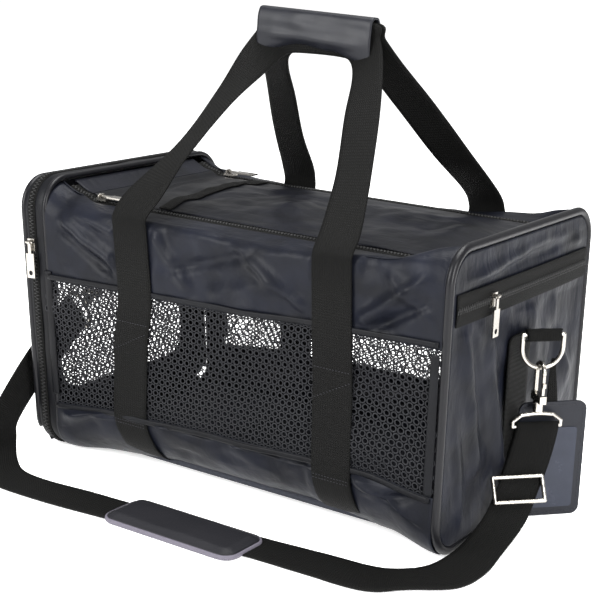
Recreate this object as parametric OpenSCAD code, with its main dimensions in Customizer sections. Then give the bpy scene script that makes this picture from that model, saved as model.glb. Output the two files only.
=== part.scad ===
/* [Bag] */
// length of the body at the floor
body_l = 450; // [360:1:560]
// depth of the body, front to back
body_d = 270; // [220:1:320]
// height of the two end frames
end_h = 270; // [220:1:320]
// height of the soft body between the end frames
body_h = 250; // [200:1:310]
// how far the door end leans outwards, in degrees
lean_deg = 4.45; // [0:0.05:8]
// corner radius of the end frames
end_r = 32; // [15:1:60]
// radius of the lower long edges
low_r = 45; // [20:1:70]
// thickness of the cloth panels
cloth_t = 2; // [1:0.1:3]

/* [Webbing] */
// width of the webbing
web_w = 40; // [25:1:50]
// thickness of the webbing
web_t = 1.6; // [1:0.1:3]
// centre of the webbing nearer the door end
web_xl = -107; // [-160:1:-60]
// centre of the webbing nearer the pocket end
web_xr = 115; // [60:1:160]

/* [Windows and zips] */
// lower seam of the side mesh
mesh_low = 58; // [30:1:100]
// upper seam of the side mesh
mesh_top = 184; // [140:1:220]
// half width of the top flap
flap_half = 92; // [60:1:110]
// height of the pocket zip
pocket_z = 217; // [150:1:235]

/* [Hidden] */
$fn = 48;
hx = body_l / 2;
hy = body_d / 2;
band = 22;
hw_x = 245.8;
hw_y = -1;
hw_turn = -42;
ring_z = 176;
hook_z = ring_z - 33.8;
cloth = [0.2, 0.21, 0.25];
black = [0.11, 0.11, 0.1];
mesh_c = [0.17, 0.18, 0.2];
metal = [0.72, 0.71, 0.68];

// ---- shapes drawn in the plane across the bag ----
module yz(x0, x1) {
  translate([x0, 0, 0]) rotate([90, 0, 90]) linear_extrude(x1 - x0) children();
}

module rounded(w, h, r) {
  square([w - 2 * r, h], center = true);
  square([w, h - 2 * r], center = true);
  for (a = [-1, 1], b = [-1, 1])
    translate([a * (w / 2 - r), b * (h / 2 - r)]) circle(r);
}

module end_ring_shape(inset, wall) {
  translate([0, end_h / 2]) difference() {
    rounded(body_d - 2 * inset, end_h - 2 * inset, end_r - inset);
    rounded(body_d - 2 * inset - 2 * wall, end_h - 2 * inset - 2 * wall, end_r - inset - wall);
  }
}

// everything on the door end leans about the lower edge of that end
module lean() {
  translate([-hx, 0, 0]) rotate([0, -lean_deg, 0]) translate([hx, 0, 0]) children();
}

// panels of the body stop at the leaning band and at the end piping
module between_ends() {
  difference() {
    children();
    lean() translate([-hx - 300, -300, -50]) cube([300 + band + 4.2, 600, 500]);
  }
}

module side_sheet(z0, z1, t, out) {
  between_ends() translate([-hx - 40, -hy + out, z0]) cube([body_l + 40 - 7.2, t, z1 - z0]);
}

// a flat band between two edge lines, listed ring by ring
function unit(v) = v / norm(v);
function along(p, i) = p[min(i + 1, len(p) - 1)] - p[max(i - 1, 0)];
function mid(a, b) = (a + b) / 2;
function side(a, b, i) = unit(cross(b[i] - a[i], along([for (k = [0:len(a) - 1]) mid(a[k], b[k])], i)));
module ribbon(a, b, t) {
  n = len(a);
  pts = [for (i = [0:n - 1]) let (s = side(a, b, i) * t / 2)
    each [a[i] - s, b[i] - s, b[i] + s, a[i] + s]];
  skin = [for (i = [0:n - 2]) for (k = [0:3]) let (p = 4 * i + k, q = 4 * i + (k + 1) % 4)
    each [[p, q, p + 4], [q, q + 4, p + 4]]];
  caps = [[0, 3, 2], [0, 2, 1], [4 * n - 4, 4 * n - 3, 4 * n - 2], [4 * n - 4, 4 * n - 2, 4 * n - 1]];
  polyhedron(pts, concat(skin, caps));
}

// ---- body ----
module bottom_panel() {
  color(cloth) between_ends() difference() {
    translate([-hx, -hy + low_r + 0.2, 0]) cube([body_l - 7.2, body_d - 2 * low_r - 0.4, 3.2]);
    for (x = [web_xl, web_xr]) translate([x - web_w / 2 - 0.4, -200, -1]) cube([web_w + 0.8, 400, 3]);
  }
}

module base_board() {
  color([0.25, 0.24, 0.22]) translate([-hx + 28, -95, 4.4]) difference() {
    cube([body_l - 38, 190, 3]);
    for (x = [-1, body_l - 43], y = [-1, 185]) translate([x, y, -1]) cube([6, 6, 5]);
  }
}

module base_cushion() {
  color([0.3, 0.3, 0.33]) translate([-hx + 28, -106, 7.7]) difference() {
    cube([body_l - 38, 212, 11.5]);
    for (x = [-1, body_l - 45], y = [-1, 206]) translate([x, y, -1]) cube([8, 7, 20]);
  }
}

module lower_panel() {
  between_ends() translate([-hx - 20, -hy + low_r, 2 + low_r]) rotate([90, 0, 90])
    linear_extrude(body_l + 20 - 7.2) {
      difference() {
        circle(low_r);
        circle(low_r - cloth_t);
        translate([-100, 0]) square([200, 100]);
        translate([0, -100]) square([100, 200]);
      }
      translate([-low_r, 0]) square([cloth_t, mesh_low - 2 - low_r]);
    }
}
module front_lower_panel() color(cloth) lower_panel();
module back_lower_panel() color(cloth) mirror([0, 1, 0]) lower_panel();

module front_mesh() color(mesh_c) side_sheet(mesh_low + 0.2, mesh_top - 0.2, 1.2, 0.4);
module back_mesh() color(mesh_c) mirror([0, 1, 0]) side_sheet(mesh_low + 0.2, mesh_top - 0.2, 1.2, 0.4);
module front_upper_panel() color(cloth) side_sheet(mesh_top, body_h, cloth_t, 0);
module back_upper_panel() color(cloth) mirror([0, 1, 0]) side_sheet(mesh_top, body_h, cloth_t, 0);

module top_margins() {
  color(cloth) between_ends() for (s = [-1, 1])
    translate([-hx - 40, s < 0 ? -hy + 2.3 : 108.2, body_h - cloth_t])
      cube([body_l + 40 - 7.2, hy - 108.2 - 2.3, cloth_t]);
}

module top_end_bands() {
  color(cloth) {
    between_ends() translate([-hx - 40, -92, body_h - cloth_t]) cube([40 + 31, 184, cloth_t]);
    translate([hx - 24, -92, body_h - cloth_t]) cube([16.8, 184, cloth_t]);
  }
}

module top_zip() {
  between_ends() {
    translate([-hx - 40, -108, body_h - 1.4]) cube([body_l + 40 - 7.2, 15.6, 1.2]);
    translate([-hx - 40, -103, body_h - 0.2]) cube([body_l + 40 - 7.2, 6, 1.2]);
  }
}
module top_zip_front() color(black) top_zip();
module top_zip_back() color(black) mirror([0, 1, 0]) top_zip();

// ---- door end, fixed side ----
module door_gusset() color(cloth) lean() yz(-hx, -hx + band) end_ring_shape(0, 2.6);
module door_zip() {
  color(black) lean() difference() {
    yz(-hx + 5, -hx + 11) end_ring_shape(-1.2, 1);
    translate([-hx - 5, -200, -20]) cube([30, 400, 22]);
  }
}
module gusset_piping() color(black) lean() yz(-hx + band + 0.2, -hx + band + 4) end_ring_shape(0, 4.4);

// ---- pocket end ----
module end_piping() color(black) yz(hx - 7, hx) end_ring_shape(0, 7);
module end_hoop_wire() color(metal) yz(hx - 6.9, hx - 3.8) end_ring_shape(7.3, 3.1);
module end_panel() {
  color(cloth) yz(hx - 3.4, hx - 1.4) translate([0, end_h / 2])
    rounded(body_d - 14.4, end_h - 14.4, end_r - 7.2);
}
module pocket_panel() {
  color(cloth) yz(hx - 1.2, hx + 0.8) difference() {
    translate([0, end_h / 2]) rounded(body_d - 15, end_h - 15, end_r - 7.5);
    translate([-200, pocket_z - 14.2]) square([400, 200]);
  }
}
module pocket_zip() {
  color(black) {
    translate([hx - 1.2, -126, pocket_z - 14]) cube([1.4, 252, 28]);
    translate([hx + 0.2, -126, pocket_z - 3]) cube([1.4, 252, 6]);
  }
}

// ---- webbing sewn to the body ----
module low_web() {
  translate([0, -hy + low_r, 2 + low_r]) rotate([90, 0, 90]) linear_extrude(web_w) {
    difference() {
      circle(low_r + 0.2 + web_t);
      circle(low_r + 0.2);
      translate([-100, 0]) square([200, 100]);
      translate([0, -100]) square([100, 200]);
    }
    translate([-low_r - 0.2 - web_t, 0]) square([web_t, body_h - low_r - 2.4]);
  }
}
module side_webs() {
  color(black) for (x = [web_xl, web_xr]) {
    translate([x - web_w / 2, 0, 0]) low_web();
    mirror([0, 1, 0]) translate([x - web_w / 2, 0, 0]) low_web();
  }
}
module under_webs() {
  color(black) for (x = [web_xl, web_xr])
    translate([x - web_w / 2, -hy + low_r + 0.2, 0.2]) cube([web_w, body_d - 2 * low_r - 0.4, web_t]);
}

// ---- handles ----
leg_l_a = [[web_xl - 20, -136.4, 252], [web_xl - 17, -122, 270], [-110, -86, 311], [-92, -48, 356],
  [-76, -18, 394], [-66, -4, 416], [-60, -3.2, 434]];
leg_l_b = [[web_xl + 20, -136.4, 252], [web_xl + 23, -122, 269], [-72, -82, 306], [-58, -44, 350],
  [-48, -18, 380], [-40, -5, 396], [-30, -3.2, 397]];
leg_r_a = [[web_xr - 20, -136.4, 252], [web_xr - 23, -122, 269], [78, -82, 306], [60, -44, 350],
  [50, -18, 380], [40, -5, 396], [30, -3.2, 397]];
leg_r_b = [[web_xr + 20, -136.4, 252], [web_xr + 17, -122, 270], [116, -86, 311], [98, -48, 356],
  [80, -18, 394], [68, -4, 416], [60, -3.2, 434]];
module handle_shape() {
  difference() {
    union() {
      ribbon(leg_l_a, leg_l_b, web_t);
      ribbon(leg_r_a, leg_r_b, web_t);
    }
    translate([-63.4, -9, 399.6]) cube([126.8, 4.8, 38.8]);
  }
  translate([-59, -4, 397]) cube([118, web_t, 37]);
}
module front_handle() color(black) handle_shape();
module back_handle() color(black) mirror([0, 1, 0]) handle_shape();
module grip_wrap_front() {
  color([0.15, 0.15, 0.18]) difference() {
    translate([-63, -7.2, 400]) cube([126, 7, 38]);
    translate([-80, -4.4, 390]) cube([160, 6, 45]);
    for (s = [-1, 1]) translate([s * 71.5 - 10, -10, 395]) cube([20, 20, 2]);
  }
}
module grip_wrap_back() color([0.15, 0.15, 0.18]) mirror([0, 1, 0]) grip_wrap_front();

// ---- top flap ----
module top_flap() {
  color(cloth) translate([-114.8, -91.8, body_h - cloth_t])
    cube([hx - 24.4 + 114.8, 183.6, cloth_t]);
}
module flap_window() {
  color([0.13, 0.13, 0.15]) translate([-hx + 31.5, -91.8, body_h - cloth_t])
    cube([hx - 31.5 - 115.2, 183.6, 1.6]);
}
module flap_hem() color(black) translate([-122, -91.8, body_h + 0.1]) cube([14, 183.6, 1.4]);

// ---- metal rings and hooks, drawn in their own plane ----
module d_ring(w, drop) {
  translate([0, -w / 2, 0]) rotate([-90, 0, 0]) cylinder(h = w, r = 2);
  for (s = [-1, 1]) translate([0, s * w / 2, -(drop - w / 2)]) cylinder(h = drop - w / 2, r = 2);
  for (s = [-1, 1]) translate([0, s * w / 2, 0]) sphere(2);
  translate([0, 0, -(drop - w / 2)]) rotate([0, 90, 0]) rotate([0, 0, -90]) rotate_extrude(angle = 180)
    translate([w / 2, 0]) circle(2, $fn = 24);
}
module hook_body(rise = 0) {
  translate([0, 0, rise]) rotate([90, 0, 0]) rotate_extrude(angle = 180)
    translate([8, 0]) circle(2, $fn = 24);
  translate([-8, 0, -20]) cylinder(h = 20 + rise, r = 2);
  translate([8, 0, -0.8]) cylinder(h = 0.8 + rise, r = 2);
  translate([-10.5, -3, -27]) cube([21, 6, 7]);
  translate([0, 0, -36]) cylinder(h = 9, r = 4.6);
}
module hook_gate() {
  translate([8, 0, -19.2]) cylinder(h = 18, r = 1.7);
  translate([9.4, -1.4, -12]) cube([2, 2.8, 4]);
}
module rod(a, b) {
  hull() {
    translate(a) sphere(1.8, $fn = 24);
    translate(b) sphere(1.8, $fn = 24);
  }
}
module strap_ring() {
  for (s = [-1, 1]) {
    rod([0, s * 4, -38.4], [0, s * 15, -39.6]);
    rod([0, s * 15, -39.6], [0, s * 22.4, -45]);
    rod([0, s * 22.4, -45], [0, s * 22.4, -50]);
  }
  for (s = [-1, 1]) translate([0, s * 4, -38.4]) rotate([s * 90, 0, 0]) cylinder(h = 4, r = 1.8);
  translate([0, -22.4, -50]) rotate([-90, 0, 0]) cylinder(h = 44.8, r = 1.8);
}
module in_hardware() translate([hw_x, hw_y, 0]) rotate([0, 0, hw_turn]) children();

module end_ring_tab() {
  color(black) {
    translate([hx + 1.8, -29, 62]) cube([web_t, 40, 118]);
    translate([0, 0, ring_z + 2.3]) linear_extrude(1.6)
      polygon([[hx + 2, -29], [hx + 2, 11], [255.6, 10.6], [235.4, -12.6], [232.4, -20]]);
    in_hardware() translate([0, -16, ring_z]) rotate([-90, 0, 0]) difference() {
      cylinder(h = 32, r = 3.9);
      translate([0, 0, -1]) cylinder(h = 34, r = 2.2);
    }
  }
}
module end_ring() color(metal) in_hardware() translate([0, 0, ring_z]) d_ring(38, 30);
module end_hook() color(metal) in_hardware() translate([0, 0, hook_z]) hook_body();
module end_hook_gate() color(metal) in_hardware() translate([0, 0, hook_z]) hook_gate();
module end_strap_ring() color(metal) in_hardware() translate([0, 0, hook_z]) strap_ring();

end_a = [[232.4, -15.9, 88.4], [232, -27, 62], [231.4, -45, 38], [231, -62, 22],
  [231, -95, 10], [230, -130, 6],
  [222, -152, 4], [205, -168, 3.5], [185, -173, 2.5], [150, -176, 2.5], [90, -182, 2.5]];
end_b = [[259.2, 13.9, 88.4], [259, 3, 61], [258.6, -15, 38], [259, -38, 15],
  [262, -85, 3.4], [268, -128, 2.5],
  [262, -165, 2.5], [232, -192, 2.5], [205, -216, 2.5], [150, -219, 2.5], [90, -222, 2.5]];
module strap_end_run() {
  color(black) {
    ribbon(end_a, end_b, web_t);
    in_hardware() translate([0, -19, hook_z - 50]) rotate([-90, 0, 0]) difference() {
      cylinder(h = 38, r = 3.6);
      translate([0, 0, -1]) cylinder(h = 40, r = 2.1);
    }
  }
}
module strap_adjuster() {
  color(metal) translate([245, -28.5, 40]) rotate([0, 0, hw_turn]) rotate([0, -30, 0]) {
    for (z = [-11, 11]) translate([3.6, -23, z]) rotate([-90, 0, 0]) cylinder(h = 46, r = 1.8);
    for (s = [-1, 1]) translate([3.6, s * 23, -11]) cylinder(h = 22, r = 1.8);
    for (s = [-1, 1], z = [-11, 11]) translate([3.6, s * 23, z]) sphere(1.8);
  }
}
module strap_door_floor() {
  color(black) ribbon(
    [[-56, -196, 2.5], [-110, -199, 2.5], [-150, -203, 2.5], [-185, -200, 2.5],
      [-210, -184, 2.8], [-226, -166, 6.5]],
    [[-56, -236, 2.5], [-105, -241, 2.5], [-150, -243, 2.5], [-192, -240, 2.5],
      [-218, -222, 2.8], [-228, -203, 6.5]],
    web_t);
}
module shoulder_pad() {
  color([0.2, 0.2, 0.22]) difference() {
    union() {
      translate([-40, -239, 0.4]) cube([116, 52, 7.2]);
      translate([-52, -227, 0.4]) cube([140, 28, 7.2]);
      for (x = [-40, 76], y = [-227, -199]) translate([x, y, 0.4]) cylinder(h = 7.2, r = 12);
    }
  }
}
module id_tag() {
  color([0.2, 0.21, 0.25]) translate([251.2, 19.3, 3]) rotate([0, 0, hw_turn]) rotate([90, 0, 90])
    translate([0, 0, -1.2]) linear_extrude(2.4) translate([0, 54]) rounded(64, 108, 8);
}
module id_tag_window() {
  color([0.3, 0.32, 0.38]) translate([251.2, 19.3, 3]) rotate([0, 0, hw_turn]) rotate([90, 0, 90])
    translate([0, 0, 1.3]) linear_extrude(0.8) translate([0, 46]) rounded(48, 76, 3);
}
module id_tag_strap() {
  color(black) {
    ribbon([[246.9, 14.6, 111.3], [247.6, 13.6, 130], [250.2, 10.4, 152.4]],
      [[253.5, 22, 111.3], [252.9, 18.5, 130], [252.9, 13.3, 152.4]], 1.2);
    in_hardware() translate([0, 0, ring_z - 11]) rotate([45, 0, 0]) translate([0, 0, -19])
      rotate([70, 0, 0]) rotate_extrude($fn = 32) translate([4.2, 0]) circle(1, $fn = 16);
  }
}

// ---- door: everything here swings on its lower seam ----
module door_rim() {
  color(black) lean() difference() {
    yz(-hx - 7, -hx - 0.3) end_ring_shape(0, 7);
    translate([-hx - 20, -200, -20]) cube([30, 400, 28.3]);
  }
}
module door_hoop_wire() {
  color(metal) lean() difference() {
    yz(-hx - 4.4, -hx - 1.4) end_ring_shape(7.2, 3);
    translate([-hx - 20, -200, -20]) cube([30, 400, 36]);
  }
}
module door_panel() {
  color(cloth) lean() difference() {
    yz(-hx - 6.6, -hx - 4.6) difference() {
      translate([0, end_h / 2]) rounded(body_d - 14.4, end_h - 14.4, end_r - 7.2);
      translate([0, 122]) rounded(196, 156, 26);
      translate([-200, -50]) square([400, 58.3]);
    }
  }
}
module door_mesh() {
  color(mesh_c) lean() yz(-hx - 6, -hx - 4.8) translate([0, 122]) rounded(195.6, 155.6, 25.8);
}
module door_ring_tab() {
  color(black) lean() {
    translate([-hx - 8.6, -20, 150]) cube([web_t, 40, 62]);
    translate([-hx - 19.5, 0, 178.6]) rotate([-12, 0, 0]) {
      translate([0, -16, 0]) rotate([-90, 0, 0]) difference() {
        cylinder(h = 32, r = 3.9);
        translate([0, 0, -1]) cylinder(h = 34, r = 2.2);
      }
      translate([0.5, -16, 2.4]) cube([11, 32, 1.4]);
    }
  }
}
module in_door_ring() lean() translate([-hx - 19.5, 0, 178.6]) children();
module door_ring() color(metal) in_door_ring() rotate([-12, 0, 0]) d_ring(38, 30);
module in_door_hook() {
  in_door_ring() rotate([-12, 0, 0]) translate([0, 0, -30]) rotate([-45, 0, 0])
    translate([0, 0, -3.8]) children();
}
module door_hook() color(metal) in_door_hook() hook_body(3);
module door_hook_gate() color(metal) in_door_hook() hook_gate();
module door_strap_ring() color(metal) in_door_hook() strap_ring();
module strap_door_run() {
  color(black) {
    ribbon([[-236, -160, 15], [-240, -155, 26], [-246, -133, 41], [-250, -100, 63.5], [-252.4, -65, 84],
      [-252.3, -44.4, 100]],
      [[-236, -198, 15], [-240, -189, 42], [-247, -157, 69], [-252, -120, 96.5], [-254.6, -85, 116],
      [-254.8, -65.1, 131.8]], web_t);
    in_door_hook() translate([0, -19, -50]) rotate([-90, 0, 0]) difference() {
      cylinder(h = 38, r = 3.6);
      translate([0, 0, -1]) cylinder(h = 40, r = 2.1);
    }
  }
}

// ---- zip sliders and their pulls ----
module slider() {
  translate([-6, -4.4, 0]) cube([12, 8.8, 2.2]);
  translate([-3.6, -4.4, 2.2]) cube([1.4, 2, 3.2]);
  translate([-3.6, 2.4, 2.2]) cube([1.4, 2, 3.2]);
  translate([-3, -4.4, 4.4]) rotate([-90, 0, 0]) cylinder(h = 8.8, r = 0.8, $fn = 24);
}
module pull() {
  translate([-3, -1.9, 4.4]) rotate([-90, 0, 0]) difference() {
    cylinder(h = 3.8, r = 2, $fn = 24);
    translate([0, 0, -1]) cylinder(h = 6, r = 0.9, $fn = 24);
  }
  translate([-1.4, -1.9, 3.6]) cube([10, 3.8, 1.4]);
  difference() {
    translate([8, -5, 3.5]) cube([24, 10, 1.5]);
    translate([27, 0, 0]) cylinder(h = 10, r = 2.4, $fn = 24);
  }
}
module at_front_slider() translate([-174, -100, body_h + 1.3]) children();
module at_back_slider() translate([-174, 100, body_h + 1.3]) children();
module at_door_slider() lean() translate([-hx + 8, -hy - 1.4, 205]) rotate([90, 90, 0]) children();
module at_pocket_slider() translate([hx + 2, -66, pocket_z]) rotate([0, 90, 0]) rotate([0, 0, 0]) children();
module front_slider() color(metal) at_front_slider() slider();
module back_slider() color(metal) at_back_slider() slider();
module door_slider() color(metal) at_door_slider() slider();
module pocket_slider() color(metal) at_pocket_slider() slider();
module slider_pull_front() color(metal) at_front_slider() pull();
module slider_pull_back() color(metal) at_back_slider() pull();
module slider_pull_door() color(metal) at_door_slider() pull();
module slider_pull_pocket() color(metal) at_pocket_slider() pull();

bottom_panel();
base_board();
base_cushion();
front_lower_panel();
front_mesh();
front_upper_panel();
back_lower_panel();
back_mesh();
back_upper_panel();
top_margins();
top_end_bands();
top_zip_front();
top_zip_back();
door_gusset();
door_zip();
gusset_piping();
end_piping();
end_hoop_wire();
end_panel();
pocket_panel();
pocket_zip();
end_ring_tab();
end_ring();
end_hook();
end_hook_gate();
end_strap_ring();
strap_adjuster();
strap_end_run();
strap_door_floor();
shoulder_pad();
side_webs();
under_webs();
id_tag();
id_tag_window();
id_tag_strap();
door_rim();
door_hoop_wire();
door_panel();
door_mesh();
door_ring_tab();
door_ring();
door_hook();
door_hook_gate();
door_strap_ring();
strap_door_run();
top_flap();
flap_window();
flap_hem();
front_handle();
back_handle();
grip_wrap_front();
grip_wrap_back();
door_slider();
front_slider();
back_slider();
pocket_slider();
slider_pull_door();
slider_pull_front();
slider_pull_back();
slider_pull_pocket();
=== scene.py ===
# %% [markdown]
# A soft pet carrier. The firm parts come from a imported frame, in metres, and this
# lesson dresses them: cloth that sags and creases, knitted mesh, ribbed webbing,
# zips, a padded strap and bright hooks.

# %% Load the frame
import math
import bpy
import bmesh
from mathutils import Matrix, Vector, noise


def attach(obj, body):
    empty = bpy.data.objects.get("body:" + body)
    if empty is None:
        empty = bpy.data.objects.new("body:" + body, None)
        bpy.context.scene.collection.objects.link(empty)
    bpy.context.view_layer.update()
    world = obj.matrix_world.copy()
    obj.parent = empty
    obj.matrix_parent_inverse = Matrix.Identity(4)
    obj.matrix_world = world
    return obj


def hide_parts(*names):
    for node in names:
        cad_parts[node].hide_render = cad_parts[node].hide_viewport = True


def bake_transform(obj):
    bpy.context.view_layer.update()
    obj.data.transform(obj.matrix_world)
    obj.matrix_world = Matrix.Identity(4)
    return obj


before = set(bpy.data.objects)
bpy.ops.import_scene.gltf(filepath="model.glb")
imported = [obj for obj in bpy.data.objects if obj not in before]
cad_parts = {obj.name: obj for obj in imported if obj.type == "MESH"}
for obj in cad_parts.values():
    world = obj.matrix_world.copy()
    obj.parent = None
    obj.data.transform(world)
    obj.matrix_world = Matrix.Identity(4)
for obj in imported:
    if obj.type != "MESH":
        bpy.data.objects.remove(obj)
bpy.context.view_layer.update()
MM = 0.001
print("frame pieces:", len(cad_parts))

# %% [markdown]
# Colours are written as the hex values a maker would pick from a swatch and turned
# into linear light by one function. A second small function adds a shader node with
# its settings and its links, so each finish below reads like a recipe.

# %% Colour and node helpers
def swatch(code, alpha=1.0):
    values = [int(code[i:i + 2], 16) / 255 for i in (1, 3, 5)]
    return [v / 12.92 if v < 0.04045 else ((v + 0.055) / 1.055) ** 2.4 for v in values] + [alpha]


def add(tree, kind, settings=None, **links):
    node = tree.nodes.new("ShaderNode" + kind)
    for key, value in (settings or {}).items():
        if isinstance(key, str) and hasattr(node, key):
            setattr(node, key, value)
        else:
            node.inputs[key].default_value = value
    for key, source in links.items():
        tree.links.new(source, node.inputs[key.replace("_", " ")])
    return node


def finish(name, **settings):
    material = bpy.data.materials.new(name)
    material.use_nodes = True
    tree = material.node_tree
    shader = tree.nodes["Principled BSDF"]
    for key, value in settings.items():
        shader.inputs[key.replace("_", " ")].default_value = value
    return material, tree, shader


# %% [markdown]
# The shell is thin nylon taffeta with a coating on its inner side. It is a dark
# blue grey, its filament threads give a satin gloss, and it takes small sharp
# creases that never quite fall out. Two noises give the crumple: a broad one for
# soft dents and a stretched one for fine creases. The broad noise also sets the
# colour: the cloth is painted lighter and bluer where its dents rise, a painted
# sheen. The threads, 0.3 mm apart in truth, are drawn 1.2 mm apart so that they
# show at all: a wave of scale 1 repeats every 314 mm.

# %% Nylon
THREAD_SCALE = 260


def nylon(name, colour, light, crumple):
    material, tree, shader = finish(name, Roughness=0.42, IOR=1.5)
    shader.inputs["Specular IOR Level"].default_value = 0.09
    where = add(tree, "TexCoord").outputs["Object"]
    broad = add(tree, "TexNoise", {"Scale": 26, "Detail": 3, "Roughness": 0.5, "Distortion": 0.3},
                Vector=where)
    turned = add(tree, "Mapping", {"Rotation": (0.4, 0.7, 0.5), "Scale": (1.0, 2.2, 0.7)},
                 Vector=where)
    fine = add(tree, "TexNoise", {"Scale": 42, "Detail": 4, "Roughness": 0.5, "Distortion": 0.4},
               Vector=turned.outputs[0])
    both = add(tree, "Math", {"operation": "MULTIPLY_ADD", 1: 0.6}, Value=fine.outputs["Fac"])
    tree.links.new(broad.outputs["Fac"], both.inputs[2])
    weave = add(tree, "TexWave", {"Scale": THREAD_SCALE, "Distortion": 0.0, "bands_direction": "Z"},
                Vector=where)
    dents = add(tree, "Bump", {"Strength": 0.5 * crumple, "Distance": 0.004},
                Height=both.outputs[0])
    threads = add(tree, "Bump", {"Strength": 0.06, "Distance": 0.0004}, Height=weave.outputs["Fac"],
                  Normal=dents.outputs[0])
    tree.links.new(threads.outputs[0], shader.inputs["Normal"])
    # Painted sheen: the colour runs from the dark swatch to the lighter, bluer one where the broad
    # dents rise.
    painted_light_tone = add(tree, "ValToRGB", Fac=broad.outputs["Fac"])
    low, high = painted_light_tone.color_ramp.elements
    low.position, high.position = 0.3, 0.72
    low.color, high.color = swatch(colour), swatch(light)
    tree.links.new(painted_light_tone.outputs[0], shader.inputs["Base Color"])
    gloss = add(tree, "MapRange", {"To Min": 0.36, "To Max": 0.52}, Value=fine.outputs["Fac"])
    tree.links.new(gloss.outputs[0], shader.inputs["Roughness"])
    return material


shell_nylon = nylon("taffeta nylon", "#090a0e", "#11131b", 1.0)
top_nylon = nylon("taffeta nylon top", "#090a0d", "#111218", 0.8)
band_nylon = nylon("taffeta nylon band", "#070709", "#0d0e11", 0.35)
print("nylon finishes:", len(bpy.data.materials))

# %% [markdown]
# Webbing is heavy polypropylene yarn woven in ribs. Its ribs run along the strap
# and its yarns cross them, so the pattern follows the strap's own UV map, laid out
# in metres. The ribs are 2.4 mm apart and the yarns 1.7 mm. It looks matt and almost
# black, with a warm tinge. Its colour follows the height of the weave: painted shade
# in the grooves and a painted highlight on the crests. The zip tape is the same weave
# with finer yarn.

# %% Webbing
def webbing_finish(name, colour, light, rib, yarn):
    material, tree, shader = finish(name, Roughness=0.7, IOR=1.46)
    shader.inputs["Specular IOR Level"].default_value = 0.09
    strap = add(tree, "UVMap").outputs[0]
    parts = add(tree, "SeparateXYZ", Vector=strap)
    across = add(tree, "Math", {"operation": "MULTIPLY", 1: 2 * math.pi / (rib * MM)},
                 Value=parts.outputs[0])
    wide = add(tree, "Math", {"operation": "SINE"}, Value=across.outputs[0])
    lengthwise = add(tree, "Math", {"operation": "MULTIPLY", 1: 2 * math.pi / (yarn * MM)},
                     Value=parts.outputs[1])
    shifted = add(tree, "Math", {"operation": "MULTIPLY_ADD", 1: 1.2}, Value=wide.outputs[0])
    tree.links.new(lengthwise.outputs[0], shifted.inputs[2])
    along = add(tree, "Math", {"operation": "SINE"}, Value=shifted.outputs[0])
    height = add(tree, "Math", {"operation": "MULTIPLY_ADD", 1: 0.6}, Value=wide.outputs[0])
    tree.links.new(along.outputs[0], height.inputs[2])
    bump = add(tree, "Bump", {"Strength": 0.55, "Distance": 0.0005}, Height=height.outputs[0])
    tree.links.new(bump.outputs[0], shader.inputs["Normal"])
    # Painted shade and highlight: the colour is darker in the grooves between ribs and lighter on
    # their crests.
    painted_light_tone = add(tree, "MapRange", {"From Min": -1.6, "From Max": 1.6}, Value=height.outputs[0])
    mix = add(tree, "Mix", {"data_type": "RGBA"}, Factor=painted_light_tone.outputs[0])
    mix.inputs[6].default_value, mix.inputs[7].default_value = swatch(colour), swatch(light)
    tree.links.new(mix.outputs[2], shader.inputs["Base Color"])
    return material


webbing = webbing_finish("ribbed webbing", "#030303", "#0e0e0d", 2.4, 1.7)
tape = webbing_finish("zip tape", "#050505", "#0f0f0e", 1.2, 1.2)

# %% [markdown]
# Every other material on the bag is one colour with a fine grain in it: yarn, coated
# cloth, vinyl, board or plated metal. One recipe serves them all. A noise as coarse
# as the real grain shifts the colour, the roughness and the height a little. Cloth and
# plastic get a weak mirror gloss, and metal keeps the usual one.

# %% A recipe for grained finishes
def grained(name, colour, light, roughness, scale, strength, **settings):
    material, tree, shader = finish(name, Roughness=roughness, **settings)
    shader.inputs["Specular IOR Level"].default_value = 0.5 if settings else 0.16
    where = add(tree, "TexCoord").outputs["Object"]
    grain = add(tree, "TexNoise", {"Scale": scale, "Detail": 5, "Roughness": 0.6}, Vector=where)
    mix = add(tree, "Mix", {"data_type": "RGBA"}, Factor=grain.outputs["Fac"])
    mix.inputs[6].default_value, mix.inputs[7].default_value = swatch(colour), swatch(light)
    tree.links.new(mix.outputs[2], shader.inputs["Base Color"])
    worn = add(tree, "MapRange", {"To Min": roughness - 0.08, "To Max": roughness + 0.1},
               Value=grain.outputs["Fac"])
    tree.links.new(worn.outputs[0], shader.inputs["Roughness"])
    bump = add(tree, "Bump", {"Strength": strength, "Distance": 0.0006},
               Height=grain.outputs["Fac"])
    tree.links.new(bump.outputs[0], shader.inputs["Normal"])
    return material


# %% [markdown]
# The window net is real geometry, so its finish is only the yarn. The other finishes
# are named for what they are, and each note says what that gives the eye.

# %% Yarn, coated cloth, vinyl, board and metal
# Drawn polyester yarn, knitted: dull, with a fine fuzz.
mesh_yarn = grained("knitted polyester net", "#0b0b0d", "#191a1e", 0.6, 900, 0.3)
# Coated tape sewn round a wire: smooth, with a low gloss along its crown.
piping_cover = grained("piping cover", "#08080a", "#121215", 0.34, 160, 0.2)
# Nylon with a rolled polyurethane skin: soft highlights and a fine leather grain.
coated_cloth = grained("coated grip cloth", "#0e0f13", "#17181d", 0.4, 90, 0.35)
# PVC sheet pressed between hot rollers: even and a little glossy.
tag_vinyl = grained("calendered vinyl", "#101116", "#181a20", 0.34, 300, 0.12)
# Clear PVC over grey card: the glossiest soft surface on the bag.
tag_pane = grained("clear pane over card", "#1f222a", "#2a2d37", 0.24, 60, 0.08)
# Polyester knit bonded to foam: matt.
pad_cloth = grained("pad cloth", "#0f0f12", "#17171b", 0.55, 500, 0.35)
# Woven binding over the edge of grey foam: pale and dull.
pad_edge = grained("foam edge binding", "#47444c", "#5a5760", 0.7, 400, 0.3)
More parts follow.
